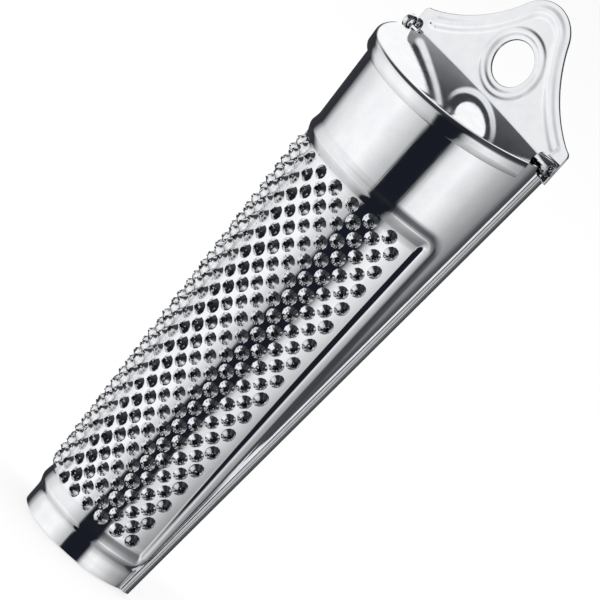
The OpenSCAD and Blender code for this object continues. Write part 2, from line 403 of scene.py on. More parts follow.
def buildShell():
    outer = []
    for z, top in shellRows():
        half = shellHalfRow(z, top)
        outer.append(half + [(-x, y, h) for x, y, h in half[-2::-1]])
    rows, cols = len(outer), len(outer[0])
    inner = []
    for r in range(rows):
        line = []
        for c in range(cols):
            along = Vector(outer[r][min(c + 1, cols - 1)]) - Vector(outer[r][max(c - 1, 0)])
            up = Vector(outer[min(r + 1, rows - 1)][c]) - Vector(outer[max(r - 1, 0)][c])
            out = along.cross(up).normalized()
            point = Vector(outer[r][c]) + out * shell["wall"]
            line.append(tuple(point))
        inner.append(line)
    points = [p for line in outer for p in line] + [p for line in inner for p in line]
    size = rows * cols
    faces = gridFaces(0, rows, cols) + gridFaces(size, rows, cols, flip=True)
    for c in range(cols - 1):
        faces.append((c, size + c, size + c + 1, c + 1))
        top = (rows - 1) * cols + c
        faces.append((top, top + 1, size + top + 1, size + top))
    for r in range(rows - 1):
        a = r * cols
        faces.append((a, a + cols, size + a + cols, size + a))
        b = a + cols - 1
        faces.append((b, size + b, size + b + cols, b + cols))
    return pieceFromData("shell_half_round", points, faces, shellSteel, shell["creaseDeg"])


shellPiece = buildShell()
print("shell:", len(shellPiece.data.polygons), "faces")


# teeth: domes punched out of the panel, torn open at the top, set out by a node tree

teeth = dict(
    rows=17,
    columnsEachSide=4,
    pitchTop=14.0,   # degrees between neighbours in a row
    pitchLow=16.0,
    firstHeight=9.98,
    lastHeight=88.52,
    sink=0.35,
    # radius and height of the rings from the flared foot to the shoulder
    rings=[(1.68, -0.06), (1.52, 0.03), (1.38, 0.14), (1.15, 0.42), (0.86, 0.69), (0.63, 0.86)],
    lip=(0.48, 0.97),
    lipJag=(-0.1, 0.42),
    jagRandom=0.6,   # the rest of the jag is a plain zigzag
    holeJag=(0.8, 1.2),
    growth=(0.94, 1.05),   # random size of each tooth
    creaseDeg=75,
    shadePatches=(0.34, 0.68),   # share of shoulder faces, and of faces just under the lip, that get painted shade
    hole=(0.24, 0.4),
    panelRadius=17.0,
    segments=12,
    variants=7,
    seed=11,
)


def toothMesh(name, seed):
    rng = random.Random(seed)
    count = teeth["segments"]
    rings = [[spot] * count for spot in teeth["rings"]]
    # torn lip: uneven radius and height all round, then the hole inside it, whose faces get painted shade
    lip = []
    hole = []
    for i in range(count):
        zigzag = 1 if i % 2 else -1
        jag = rng.uniform(-1, 1) * teeth["jagRandom"] + zigzag * (1 - teeth["jagRandom"])
        lip.append(tuple(a + b * jag for a, b in zip(teeth["lip"], teeth["lipJag"])))
        hole.append((teeth["hole"][0] * rng.uniform(*teeth["holeJag"]), teeth["hole"][1]))
    rings += [lip, hole]
    points = []
    for ring in rings:
        for i, (r, h) in enumerate(ring):
            a = 2 * math.pi * i / count
            x = r * math.cos(a)
            points.append((x * mm, r * math.sin(a) * mm, (h - x * x / (2 * teeth["panelRadius"])) * mm))
    faces = gridFaces(0, len(rings), count, closed=True)
    faces.append(tuple(range((len(rings) - 1) * count, len(rings) * count)))
    faces.append(tuple(range(count))[::-1])
    mesh = bpy.data.meshes.new(name)
    mesh.from_pydata(points, [], faces)
    mesh.shade_smooth()
    mesh.set_sharp_from_angle(angle=math.radians(teeth["creaseDeg"]))
    inside = mesh.attributes.new("painted_shade_faces", "BOOLEAN", "FACE")
    firstInside = (len(rings) - 2) * count
    for i in range(firstInside, len(faces) - 1):
        inside.data[i].value = True
    # random patches on the shoulder and just under the lip get painted shade too
    for ring, share in enumerate(teeth["shadePatches"]):
        for i in range(count):
            patchFace = firstInside + (ring - len(teeth["shadePatches"])) * count + i
            inside.data[patchFace].value = rng.random() < share
    return bpy.data.objects.new(name, mesh)


def buildTeeth():
    pool = bpy.data.collections.new("tooth_shapes")
    for i in range(teeth["variants"]):
        pool.objects.link(toothMesh("tooth_shape_%d" % i, teeth["seed"] + i))

    tree = bpy.data.node_groups.new("punched_teeth", "GeometryNodeTree")
    face = tree.interface
    face.new_socket("Geometry", in_out="INPUT", socket_type="NodeSocketGeometry")
    sizes = [
        ("Half Rows", "NodeSocketInt", teeth["rows"] * 2),
        ("Columns", "NodeSocketInt", teeth["columnsEachSide"] * 2 + 1),
        ("Pitch Top", "NodeSocketFloat", math.radians(teeth["pitchTop"])),
        ("Pitch Low", "NodeSocketFloat", math.radians(teeth["pitchLow"])),
        ("First Height", "NodeSocketFloat", teeth["firstHeight"] * mm),
        ("Last Height", "NodeSocketFloat", teeth["lastHeight"] * mm),
        ("Foot Radius", "NodeSocketFloat", (body["footRadius"] - teeth["sink"]) * mm),
        ("Taper", "NodeSocketFloat", body["taper"]),
        ("Axis Depth", "NodeSocketFloat", (yShift - body["sideDepth"]) * mm),
        ("Seed", "NodeSocketInt", teeth["seed"]),
        ("Shapes", "NodeSocketCollection", pool),
        ("Steel", "NodeSocketMaterial", toothSteel),
        ("Inside Steel", "NodeSocketMaterial", toothShadeSteel),
    ]
    idents = {}
    for label, kind, _ in sizes:
        idents[label] = face.new_socket(label, in_out="INPUT", socket_type=kind).identifier
    face.new_socket("Geometry", in_out="OUTPUT", socket_type="NodeSocketGeometry")
    nodes, link = tree.nodes, tree.links.new
    given = nodes.new("NodeGroupInput")
    result = nodes.new("NodeGroupOutput")

    def calc(op, *parts):
        return mathOf(tree, op, *parts)

    columns = given.outputs["Columns"]
    index = nodes.new("GeometryNodeInputIndex").outputs[0]
    row = calc("FLOOR", calc("DIVIDE", calc("ADD", index, 0.001), columns))   # just clear of rounding
    column = calc("SUBTRACT", index, calc("MULTIPLY", row, columns))
    odd = calc("MODULO", row, 2.0)
    lastRow = calc("SUBTRACT", given.outputs["Half Rows"], 1.0)
    part = calc("DIVIDE", row, lastRow)
    reach = calc("SUBTRACT", given.outputs["Last Height"], given.outputs["First Height"])
    height = calc("MULTIPLY_ADD", part, reach, given.outputs["First Height"])
    pitchGain = calc("SUBTRACT", given.outputs["Pitch Top"], given.outputs["Pitch Low"])
    pitch = calc("MULTIPLY_ADD", part, pitchGain, given.outputs["Pitch Low"])
    middle = calc("MULTIPLY", calc("SUBTRACT", columns, 1.0), 0.5)
    steps = calc("ADD", calc("SUBTRACT", column, middle), calc("MULTIPLY", odd, 0.5))
    turn = calc("MULTIPLY", steps, pitch)
    radius = calc("MULTIPLY_ADD", height, given.outputs["Taper"], given.outputs["Foot Radius"])
    place = nodes.new("ShaderNodeCombineXYZ")
    link(calc("MULTIPLY", radius, calc("SINE", turn)), place.inputs[0])
    link(calc("SUBTRACT", given.outputs["Axis Depth"],
              calc("MULTIPLY", radius, calc("COSINE", turn))), place.inputs[1])
    link(height, place.inputs[2])
    dots = nodes.new("GeometryNodePoints")
    link(calc("MULTIPLY", given.outputs["Half Rows"], columns), dots.inputs["Count"])
    link(place.outputs[0], dots.inputs["Position"])
    # short rows have one tooth fewer
    spare = calc("MULTIPLY", odd, calc("COMPARE", column, calc("SUBTRACT", columns, 1.0), 0.1))
    thin = nodes.new("GeometryNodeDeleteGeometry")
    thin.domain = "POINT"
    link(dots.outputs[0], thin.inputs["Geometry"])
    kill = nodes.new("FunctionNodeCompare")
    kill.operation = "GREATER_THAN"
    link(spare, kill.inputs[0])
    kill.inputs[1].default_value = 0.5
    link(kill.outputs[0], thin.inputs["Selection"])
    # stand each tooth square to the panel; the dot's own place gives the outward direction
    spot = nodes.new("GeometryNodeInputPosition")
    split = nodes.new("ShaderNodeSeparateXYZ")
    link(spot.outputs[0], split.inputs[0])
    outward = nodes.new("ShaderNodeCombineXYZ")
    away = calc("SUBTRACT", split.outputs[1], given.outputs["Axis Depth"])
    level = calc("SQRT", calc("ADD", calc("MULTIPLY", split.outputs[0], split.outputs[0]),
                              calc("MULTIPLY", away, away)))
    link(split.outputs[0], outward.inputs[0])
    link(away, outward.inputs[1])
    link(calc("MULTIPLY", calc("MULTIPLY", level, given.outputs["Taper"]), -1.0), outward.inputs[2])
    stand = nodes.new("FunctionNodeAlignRotationToVector")
    stand.axis = "Z"
    link(outward.outputs[0], stand.inputs["Vector"])
    tangent = nodes.new("ShaderNodeCombineXYZ")
    link(calc("MULTIPLY", away, -1.0), tangent.inputs[0])
    link(split.outputs[0], tangent.inputs[1])
    pose = nodes.new("FunctionNodeAlignRotationToVector")
    pose.axis = "X"
    pose.pivot_axis = "Z"
    link(stand.outputs[0], pose.inputs["Rotation"])
    link(tangent.outputs[0], pose.inputs["Vector"])
    grow = nodes.new("FunctionNodeRandomValue")
    grow.data_type = "FLOAT"
    grow.inputs[2].default_value, grow.inputs[3].default_value = teeth["growth"]
    link(calc("ADD", given.outputs["Seed"], 1.0), grow.inputs["Seed"])
    shapes = nodes.new("GeometryNodeCollectionInfo")
    shapes.inputs["Separate Children"].default_value = True
    shapes.inputs["Reset Children"].default_value = True
    link(given.outputs["Shapes"], shapes.inputs[0])
    onDots = nodes.new("GeometryNodeInstanceOnPoints")
    onDots.inputs["Pick Instance"].default_value = True
    link(thin.outputs[0], onDots.inputs["Points"])
    link(shapes.outputs[0], onDots.inputs["Instance"])
    link(pose.outputs[0], onDots.inputs["Rotation"])
    link(grow.outputs[1], onDots.inputs["Scale"])
    solid = nodes.new("GeometryNodeRealizeInstances")
    link(onDots.outputs[0], solid.inputs[0])
    coat = nodes.new("GeometryNodeSetMaterial")
    link(solid.outputs[0], coat.inputs["Geometry"])
    link(given.outputs["Steel"], coat.inputs["Material"])
    # painted shade: the hole insides and the patches under the lip get the near-black steel
    shadedFaces = nodes.new("GeometryNodeInputNamedAttribute")
    shadedFaces.data_type = "BOOLEAN"
    shadedFaces.inputs["Name"].default_value = "painted_shade_faces"
    shadeCoat = nodes.new("GeometryNodeSetMaterial")
    link(coat.outputs[0], shadeCoat.inputs["Geometry"])
    link(shadedFaces.outputs["Attribute"], shadeCoat.inputs["Selection"])
    link(given.outputs["Inside Steel"], shadeCoat.inputs["Material"])
    link(shadeCoat.outputs[0], result.inputs[0])

    seedObject = bpy.data.objects.new("teeth_source", bpy.data.meshes.new("teeth_source"))
    bpy.context.scene.collection.objects.link(seedObject)
    mod = seedObject.modifiers.new("teeth", "NODES")
    mod.node_group = tree
    for label, _, value in sizes:
        mod[idents[label]] = value
    bpy.context.view_layer.update()
    ready = seedObject.evaluated_get(bpy.context.evaluated_depsgraph_get())
    mesh = bpy.data.meshes.new_from_object(ready)
    mesh.name = "teeth_punched"
    bpy.data.objects.remove(seedObject)
    for shape in list(pool.objects):
        bpy.data.objects.remove(shape)
    bpy.data.collections.remove(pool)
    bpy.data.node_groups.remove(tree)
    piece = bpy.data.objects.new("teeth_punched", mesh)
    bpy.context.scene.collection.objects.link(piece)
    return piece


teethPiece = buildTeeth()
print("teeth:", len(teethPiece.data.polygons), "faces")


# back plate: flat sheet with folded rails, hanging tab with pressed beads, rolled hinge eyes

plate = dict(
    railTop=114.7,
    foldAt=0.3,
    # fold of the rail, out from the shell wall: side face, front face and the lip at the wall
    railSide=0.76,
    railBack=0.9,
    railFront=-1.12,
    railBend=0.22,
    railLip=(0.07, -1.32),
    railSheet=0.44,
    tabBottom=-2.8,
    tabHalf=23.2,
    cornerHeight=4.9,
    cornerRadius=1.2,
    tabHeight=23.0,
    tipRadius=7.5,
    flankRadius=32.0,
    holeRadius=4.65,
    holeHeight=8.9,
    ringRadius=6.45,
    beadIn=2.2,
    ringHalf=1.3,
    ringHeight=0.32,
    beadHalf=1.8,
    beadHeight=0.33,
    beadTail=3.0,     # turn by which the bead stops short of the corner
    beadLow=-4.0,     # nothing is pressed below this height over the hinge
    edgeRound=0.18,
    edgeShoulder=0.3,
    # each eye: its two ends, outer and inner radius
    eyes=[(-23.9, -22.7, 1.55, 0.8), (19.1, 22.9, 1.65, 1.0)],
    eyeEdge=0.14,
    eyeLift=0.2,
    eyeCurl=(-35, 300),
    # fine shape of the rail's fold
    railEnd=0.15,
    railSlack=0.01,
    railTurn=(-2, -68),
    lipDip=0.01,
    lipEdge=0.06,
    foldGap=0.02,
    # mesh cuts
    meshStep=0.3,
    sideGap=0.6,      # shares of a mesh step that the dots keep from the edges
    dotGap=0.5,
    mitreLeast=0.3,
    cornerSweep=84,
    flankStart=0.6,
    cornerCuts=8,
    flankCuts=60,
    tipCuts=20,
    holeCuts=144,
    bendCuts=6,
    lipCuts=(0.35, 0.65, 0.92),
    eyeCuts=40,
    creaseDeg=50,
)


def arcPoints(centre, radius, start, end, count):
    points = []
    for i in range(count + 1):
        a = math.radians(lerp(start, end, i / count))
        points.append((centre[0] + radius * math.cos(a), centre[1] + radius * math.sin(a)))
    return points


def flankCentre():
    tip = plate["tabHeight"] - plate["tipRadius"]
    base = plate["tabHalf"] - plate["cornerRadius"]
    dx, dy = base, plate["cornerHeight"] - tip
    far = math.hypot(dx, dy)
    big = plate["flankRadius"] + plate["tipRadius"]
    along = (big ** 2 - plate["flankRadius"] ** 2 + far ** 2) / (2 * far)
    off = math.sqrt(big ** 2 - along ** 2)
    return (along * dx / far - off * dy / far, tip + along * dy / far + off * dx / far)


def tabRightSide():
    # right edge of the tab from its bottom corner to the middle of the tip, heights over the hinge
    tip = plate["tabHeight"] - plate["tipRadius"]
    base = plate["tabHalf"] - plate["cornerRadius"]
    flank = flankCentre()
    corner = (base, plate["cornerHeight"] - plate["cornerRadius"])
    low = math.degrees(math.atan2(plate["cornerHeight"] - flank[1], base - flank[0])) + 360
    touch = math.degrees(math.atan2(flank[1] - tip, flank[0]))
    edge = [(plate["tabHalf"], plate["tabBottom"])]
    edge += arcPoints(corner, plate["cornerRadius"], 0, plate["cornerSweep"], plate["cornerCuts"])
    low -= plate["flankStart"]
    edge += arcPoints(flank, plate["flankRadius"], low, touch + 180, plate["flankCuts"])[1:]
    edge += arcPoints((0, tip), plate["tipRadius"], touch, 90, plate["tipCuts"])[1:]
    return edge


def plateOutline():
    hinge = body["hingeHeight"]
    right = [(shellRadius(0) + plate["foldAt"], 0.0)]
    bottom = hinge + plate["tabBottom"]
    right.append((shellRadius(bottom) + plate["foldAt"], bottom))
    right += [(x, z + hinge) for x, z in tabRightSide()]
    return right + [(-x, z) for x, z in right[-2::-1]]


def insetLoop(loop, amount):
    count = len(loop)
    moved = []
    for i in range(count):
        before, here, after = Vector(loop[i - 1]), Vector(loop[i]), Vector(loop[(i + 1) % count])
        a, b = (here - before).normalized(), (after - here).normalized()
        na, nb = Vector((-a.y, a.x)), Vector((-b.y, b.x))
        lean = (na + nb) / max(1.0 + na.dot(nb), plate["mitreLeast"])
        moved.append(tuple(here + lean * amount))
    return moved


def insideLoop(point, loop):
    inside = False
    for (x0, z0), (x1, z1) in zip(loop, loop[1:] + loop[:1]):
        if (z0 > point.y) != (z1 > point.y):
            if point.x < (x1 - x0) * (point.y - z0) / (z1 - z0) + x0:
                inside = not inside
    return inside


def fillLoops(loops, dots):
    # triangles between an outer loop and any holes, through the given dots
    edges, corners = [], []
    for loop in loops:
        start, count = len(corners), len(loop)
        edges += [(start + i, start + (i + 1) % count) for i in range(count)]
        corners += loop
    flat, _, tris, _, _, _ = delaunay_2d_cdt([Vector(p) for p in corners + dots], edges, [], 0, slack)
    keep = []
    for tri in tris:
        mid = sum((flat[i] for i in tri), Vector((0, 0))) / 3
        if insideLoop(mid, loops[0]) and not any(insideLoop(mid, hole) for hole in loops[1:]):
            keep.append(tuple(tri))
    return flat, keep


def beadHeightAt(x, z):
    # z over the hinge; pressed ring round the hole, and the bead that follows the edge
    ring = abs(math.hypot(x, z - plate["holeHeight"]) - plate["ringRadius"])
    tip = plate["tabHeight"] - plate["tipRadius"]
    flank = flankCentre()
    side = abs(x)
    touch = math.atan2(flank[1] - tip, flank[0])
    if math.atan2(z - tip, side) > touch:
        edge = abs(math.hypot(side, z - tip) - (plate["tipRadius"] - plate["beadIn"]))
    else:
        turn = math.degrees(math.atan2(z - flank[1], side - flank[0])) % 360
        low = math.degrees(math.atan2(plate["cornerHeight"] - flank[1],
                                      plate["tabHalf"] - plate["cornerRadius"] - flank[0])) % 360
        reach = plate["flankRadius"] + plate["beadIn"]
        over = max(0.0, math.radians(turn - (low - plate["beadTail"])) * reach)
        edge = math.hypot(math.hypot(side - flank[0], z - flank[1]) - reach, over)
    lift = 0.0
    for gap, half, tall in ((ring, plate["ringHalf"], plate["ringHeight"]),
                            (edge, plate["beadHalf"], plate["beadHeight"])):
        if gap < half:
            lift = max(lift, tall * math.cos(math.pi / 2 * gap / half) ** 2)
    return lift


def tabDots(face):
    # close dots over the tab carry the pressed forms
    hinge, step = body["hingeHeight"], plate["meshStep"]
    rise = step * math.sqrt(3) / 2
    rightEdge = [(x, z) for x, z in face if x >= 0]
    bothEdges = rightEdge[1:] + [(-x, z) for x, z in rightEdge[1:]]
    holeClear = plate["holeRadius"] + plate["edgeRound"] + plate["dotGap"] * step
    dots = []
    for i in range(1, int((plate["tabHeight"] - plate["tabBottom"]) / rise)):
        z = hinge + plate["tabBottom"] + i * rise
        wide = 0.0
        for (x0, z0), (x1, z1) in zip(rightEdge, rightEdge[1:]):
            if min(z0, z1) <= z <= max(z0, z1) and z0 != z1:
                wide = max(wide, lerp(x0, x1, (z - z0) / (z1 - z0)))
        count = int(wide / step) + 1
        for k in range(-count, count + 1):
            x = (k + 0.5 * (i % 2)) * step   # every second row is half a step over
            if abs(x) > wide - plate["sideGap"] * step:
                continue
            if math.hypot(x, z - hinge - plate["holeHeight"]) < holeClear:
                continue
            near = min((x - px) ** 2 + (z - pz) ** 2 for px, pz in bothEdges)
            if near >= (plate["dotGap"] * step) ** 2:
                dots.append((x, z))
    return dots


def railSection():
    # plate edge, round the fold, back under the lip
    side, front, bend, thick = (plate[k] for k in ("railSide", "railFront", "railBend", "railSheet"))
    lipX, lipY = plate["railLip"]
    back, gap, edge = body["sheet"], plate["foldGap"], plate["lipEdge"]
    section = [(plate["foldAt"], back)]
    section += arcPoints((plate["railBack"] - bend, back - bend), bend, 90, 0, plate["bendCuts"])
    section += arcPoints((side - bend, front + bend), bend, *plate["railTurn"], plate["bendCuts"])
    section += [(lerp(side - bend, lipX, t), lerp(front - plate["lipDip"], lipY, t))
                for t in plate["lipCuts"]]
    section += [(lipX, lipY + edge), (lipX, lipY + thick)]
    section += [(side - thick, front + thick - edge), (side - thick, -gap), (plate["foldAt"], -gap)]
    return section


def eyeSection(outRadius, inRadius):
    # curl that starts on the plate, runs forward over the ear and stops short of a full turn
    axis = (body["hingeY"], body["hingeHeight"] + plate["eyeLift"])
    start, end = plate["eyeCurl"]
    return (arcPoints(axis, outRadius, start, end, plate["eyeCuts"])
            + arcPoints(axis, inRadius, end, start, plate["eyeCuts"]))


def buildPlate():
    hinge = body["hingeHeight"]
    outer = plateOutline()
    circle = arcPoints((0, plate["holeHeight"]), plate["holeRadius"], 360, 0, plate["holeCuts"])
    hole = [(x, z + hinge) for x, z in circle[:-1]]
    face = insetLoop(outer, plate["edgeRound"])
    holeFace = insetLoop(hole, plate["edgeRound"])
    flat, keep = fillLoops([face, holeFace], tabDots(face))
    thick = body["sheet"]
    lifts = [beadHeightAt(p.x, p.y - hinge) if p.y > hinge + plate["beadLow"] else 0.0 for p in flat]
    points = [(p.x, -lift, p.y) for p, lift in zip(flat, lifts)]
    points += [(p.x, thick - lift, p.y) for p, lift in zip(flat, lifts)]
    size = len(flat)
    faces = keep + [tuple(size + i for i in tri[::-1]) for tri in keep]
    # rounded edges between the two faces
    bend = plate["edgeRound"]
    shoulder = bend * plate["edgeShoulder"]
    for loop, start in ((outer, 0), (hole, len(face))):
        count = len(loop)
        rings = [[(x, y, z) for x, z in ring] for ring, y in (
            (insetLoop(loop, shoulder), shoulder), (loop, bend),
            (loop, thick - bend), (insetLoop(loop, shoulder), thick - shoulder))]
        base = len(points)
        points += [p for ring in rings for p in ring]
        faces += gridFaces(base, len(rings), count, closed=True)
        last = base + (len(rings) - 1) * count
        for i in range(count):
            j = (i + 1) % count
            faces.append((start + i, start + j, base + j, base + i))
            faces.append((last + i, last + j, size + start + j, size + start + i))
    # folded rails
    section = railSection()
    levels = [0.0, plate["railEnd"], plate["railTop"] - plate["railEnd"], plate["railTop"]]
    for side in (-1, 1):
        base = len(points)
        points += [(side * (shellRadius(z) + x), y, z) for z in levels for x, y in section]
        faces += gridFaces(base, len(levels), len(section), closed=True)
        for first in (base, len(points) - len(section)):
            faces.append(tuple(first + i for i in range(len(section))))
    # rolled eyes
    edge = plate["eyeEdge"]
    for start, end, outRadius, inRadius in plate["eyes"]:
        base = len(points)
        ends = [(start, edge), (start + edge, 0.0), (end - edge, 0.0), (end, edge)]
        for x, less in ends:
            points += [(x, y, z) for y, z in eyeSection(outRadius - less, inRadius + less)]
        cols = (len(points) - base) // len(ends)
        faces += gridFaces(base, len(ends), cols, closed=True)
        for first in (base, len(points) - cols):
            for i in range(cols // 2 - 1):
                faces.append((first + i, first + i + 1, first + cols - 2 - i, first + cols - 1 - i))
    piece = pieceFromData("plate_with_tab", points, faces, plateSteel, plate["creaseDeg"])
    piece.data.materials.append(railSteel)
    for poly in piece.data.polygons:
        x, _, z = poly.center / mm
        if z < plate["railTop"] + plate["railSlack"] and abs(x) > shellRadius(z) + plate["foldAt"] / 4:
            poly.material_index = 1
    return piece


platePiece = buildPlate()
print("plate:", len(platePiece.data.polygons), "faces")


# lid: half-round plate with a rounded rim, a skirt, and ears in the hinge eyes

lid = dict(
    inRadius=22.457,
    outRadius=22.957,
    centreY=-0.85,      # from the hinge axis, in the lid's own plane
    rimRound=1.1,
    skirtDepth=3.4,
    skirtEndY=-6.95,
    rimEndY=-6.4,       # the corners are cut from here back to the hinge
    backHalf=18.9,
    notchY=-1.75,
    backEdge=0.5,
    earHalf=0.32,
    earReach=23.2,
    crown=0.45,
    crownRadius=22.2,
    # fine shape of the rim and skirt
    rimGaps=(0.5, 0.06),
    skirtEdge=0.08,
    plainEdge=0.05,
    underRound=(0.3, 0.09),
    # mesh cuts
    meshStep=1.1,
    dotGap=0.6,       # share of a mesh step that the dots keep from the rim
    notchGap=(0.5, 0.6),
    rimCuts=96,
    roundStep=15,
    skirtCuts=(0.3, 0.6, 0.95),
    skirtMiddle=0.5,
    backCuts=24,
    creaseDeg=35,
)


def lidPoint(x, y, z):
    # place in the lid's own plane, with its slight crown, to place on the object
    z += lid["crown"] * max(0.0, 1 - (x * x + y * y) / lid["crownRadius"] ** 2)
    slope = math.radians(body["lidSlope"])
    c, s = math.cos(slope), math.sin(slope)
    return (x, body["hingeY"] + y * c - z * s, body["hingeHeight"] + y * s + z * c)


def cornerLine():
    # cut corner on the right, from the hinge notch out to the rim: start and direction
    rimDrop = lid["centreY"] - lid["rimEndY"]
    rimX = math.sqrt(lid["outRadius"] ** 2 - rimDrop ** 2)
    start = Vector((lid["backHalf"], lid["notchY"]))
    return start, (Vector((rimX, lid["rimEndY"])) - start).normalized()


def cornerTurn(radius):
    # turn at which the cut crosses a circle about the lid's centre
    start, way = cornerLine()
    fromCentre = start - Vector((0, lid["centreY"]))
    along = fromCentre.dot(way)
    reach = -along + math.sqrt(along ** 2 - fromCentre.length_squared + radius ** 2)
    spot = fromCentre + way * reach
    return math.degrees(math.atan2(-spot.y, spot.x))


def cornerGap(x, y):
    # distance inside the cut
    start, way = cornerLine()
    away = Vector((x, y)) - start
    return way.y * away.x - way.x * away.y


def buildLid():
    half = body["plateThick"] / 2
    out, inn = lid["outRadius"], lid["inRadius"]
    bend, depth = lid["rimRound"], lid["skirtDepth"]
    skirtTurn = math.degrees(math.asin((lid["centreY"] - lid["skirtEndY"]) / out))
    endTurn = cornerTurn(out)
    turns = [endTurn, lerp(endTurn, skirtTurn, 0.5)]
    turns += spread(skirtTurn, 180 - skirtTurn, lid["rimCuts"]) + [180 - skirtTurn]
    turns += [180 - t for t in turns[1::-1]]
    # half section of rim and skirt, from the plate's top round to its underside
    rim = [(out - bend - gap, half) for gap in lid["rimGaps"]]
    for deg in range(0, 91, lid["roundStep"]):
        a = math.radians(deg)
        rim.append((out - bend + bend * math.sin(a), half - bend + bend * math.cos(a)))
    low = half - bend
    wide, slight = lid["underRound"]
    under = [(inn, low), (inn, -half - wide), (inn - slight, -half - slight), (inn - wide, -half)]
    edge, share = lid["skirtEdge"], lid["skirtCuts"]
    skirt = [(out, -depth * t) for t in share]
    skirt += [(out - edge, -depth), (inn + edge, -depth)]
    skirt += [(inn, -depth * share[-1]), (inn, -depth * lid["skirtMiddle"])] + under
    edge = lid["plainEdge"]
    plain = [(out - edge, low - edge), (inn + edge, low - edge)] + under

    def rimSpot(a, r):
        # the end rows follow the cut corners
        if a == turns[0]:
            a = cornerTurn(r)
        elif a == turns[-1]:
            a = 180 - cornerTurn(r)
        return r * math.cos(math.radians(a)), lid["centreY"] - r * math.sin(math.radians(a))

    def sweep(turnList, section):
        return [lidPoint(*rimSpot(a, r), z) for a in turnList for r, z in section]

    points, faces = [], []
    first = [t for t in turns if t <= skirtTurn + slack]
    main = [t for t in turns if skirtTurn - slack <= t <= 180 - skirtTurn + slack]
    last = [t for t in turns if t >= 180 - skirtTurn - slack]
    starts = []
    for turnList, section in ((first, rim + plain), (main, rim + skirt), (last, rim + plain)):
        starts.append(len(points))
        points += sweep(turnList, section)
        faces += gridFaces(starts[-1], len(turnList), len(section))
    # ends of the skirt, below the plain rim
    skirtEnds = [(starts[1], starts[0] + (len(first) - 1) * (len(rim) + len(plain))),
                 (starts[1] + (len(main) - 1) * (len(rim) + len(skirt)), starts[2])]
    for skirtRow, plainRow in skirtEnds:
        edge = [skirtRow + len(rim) - 1 + i for i in range(len(skirt) - len(under) + 2)]
        faces.append(tuple(edge + [plainRow + len(rim) + 1, plainRow + len(rim)]))
    # back strip and ears close the plate behind the hinge line
    side = [(lid["backHalf"], lid["backEdge"]), (lid["backHalf"], lid["earHalf"]),
            (lid["earReach"], lid["earHalf"]), (lid["earReach"], -lid["earHalf"]),
            (lid["backHalf"], -lid["earHalf"]), (lid["backHalf"], lid["notchY"])]
    back = [(-x, y) for x, y in side[::-1]]
    back += [(x, lid["backEdge"]) for x in spread(-lid["backHalf"], lid["backHalf"], lid["backCuts"])[1:]]
    back += side
    base = len(points)
    points += [lidPoint(x, y, half) for x, y in back] + [lidPoint(x, y, -half) for x, y in back]
    clear = lid["dotGap"] * lid["meshStep"]
    besideNotch = lid["backHalf"] - lid["notchGap"][0]
    belowNotch = lid["notchY"] - lid["notchGap"][1]
    for radius, z in (rim[0], plain[-1]):
        loop = [rimSpot(a, radius) for a in turns] + back
        dots = []
        reach = int(radius / lid["meshStep"]) + 1
        for i in range(-reach, reach + 1):
            for k in range(1, reach + 1):
                x, y = i * lid["meshStep"], lid["backEdge"] - k * lid["meshStep"]
                inRim = math.hypot(x, y - lid["centreY"]) < radius - clear
                inCut = cornerGap(abs(x), y) > clear
                if inRim and inCut and (abs(x) < besideNotch or y < belowNotch):
                    dots.append((x, y))
        flat, tris = fillLoops([loop], dots)
        start = len(points)
        points += [lidPoint(p.x, p.y, z) for p in flat]
        faces += [tuple(start + i for i in tri) for tri in tris]
    for i in range(len(back) - 1):
        faces.append((base + i, base + i + 1, base + len(back) + i + 1, base + len(back) + i))
    cols = len(rim) + len(plain)
    startRow = list(range(cols))
    faces.append(tuple(startRow + [base + 2 * len(back) - 1, base + len(back) - 1]))
    endRow = [base - cols + i for i in range(cols)]
    faces.append(tuple(endRow[::-1] + [base, base + len(back)]))
    return pieceFromData("lid_with_skirt", points, faces, lidSteel, lid["creaseDeg"])


lidPiece = buildLid()
print("lid:", len(lidPiece.data.polygons), "faces")


# pieces on their bodies

for piece, node, bodyName, slotName in (
        (shellPiece, "grater_shell", "grater", "shell_steel"),
        (teethPiece, "grating_teeth", "grater", "teeth_steel"),
        (platePiece, "back_plate", "grater", "back_steel"),
        (lidPiece, "lid", "lid", "lid_steel")):
    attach(piece, bodyName)
    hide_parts(node)

for obj in bpy.context.scene.objects:
    if obj.type == "MESH" and obj.name.startswith("store_floor"):
        obj.data.materials.clear()
        obj.data.materials.append(floorSteel)


# studio: white floor, two soft lamps, and a room that only the metal sees

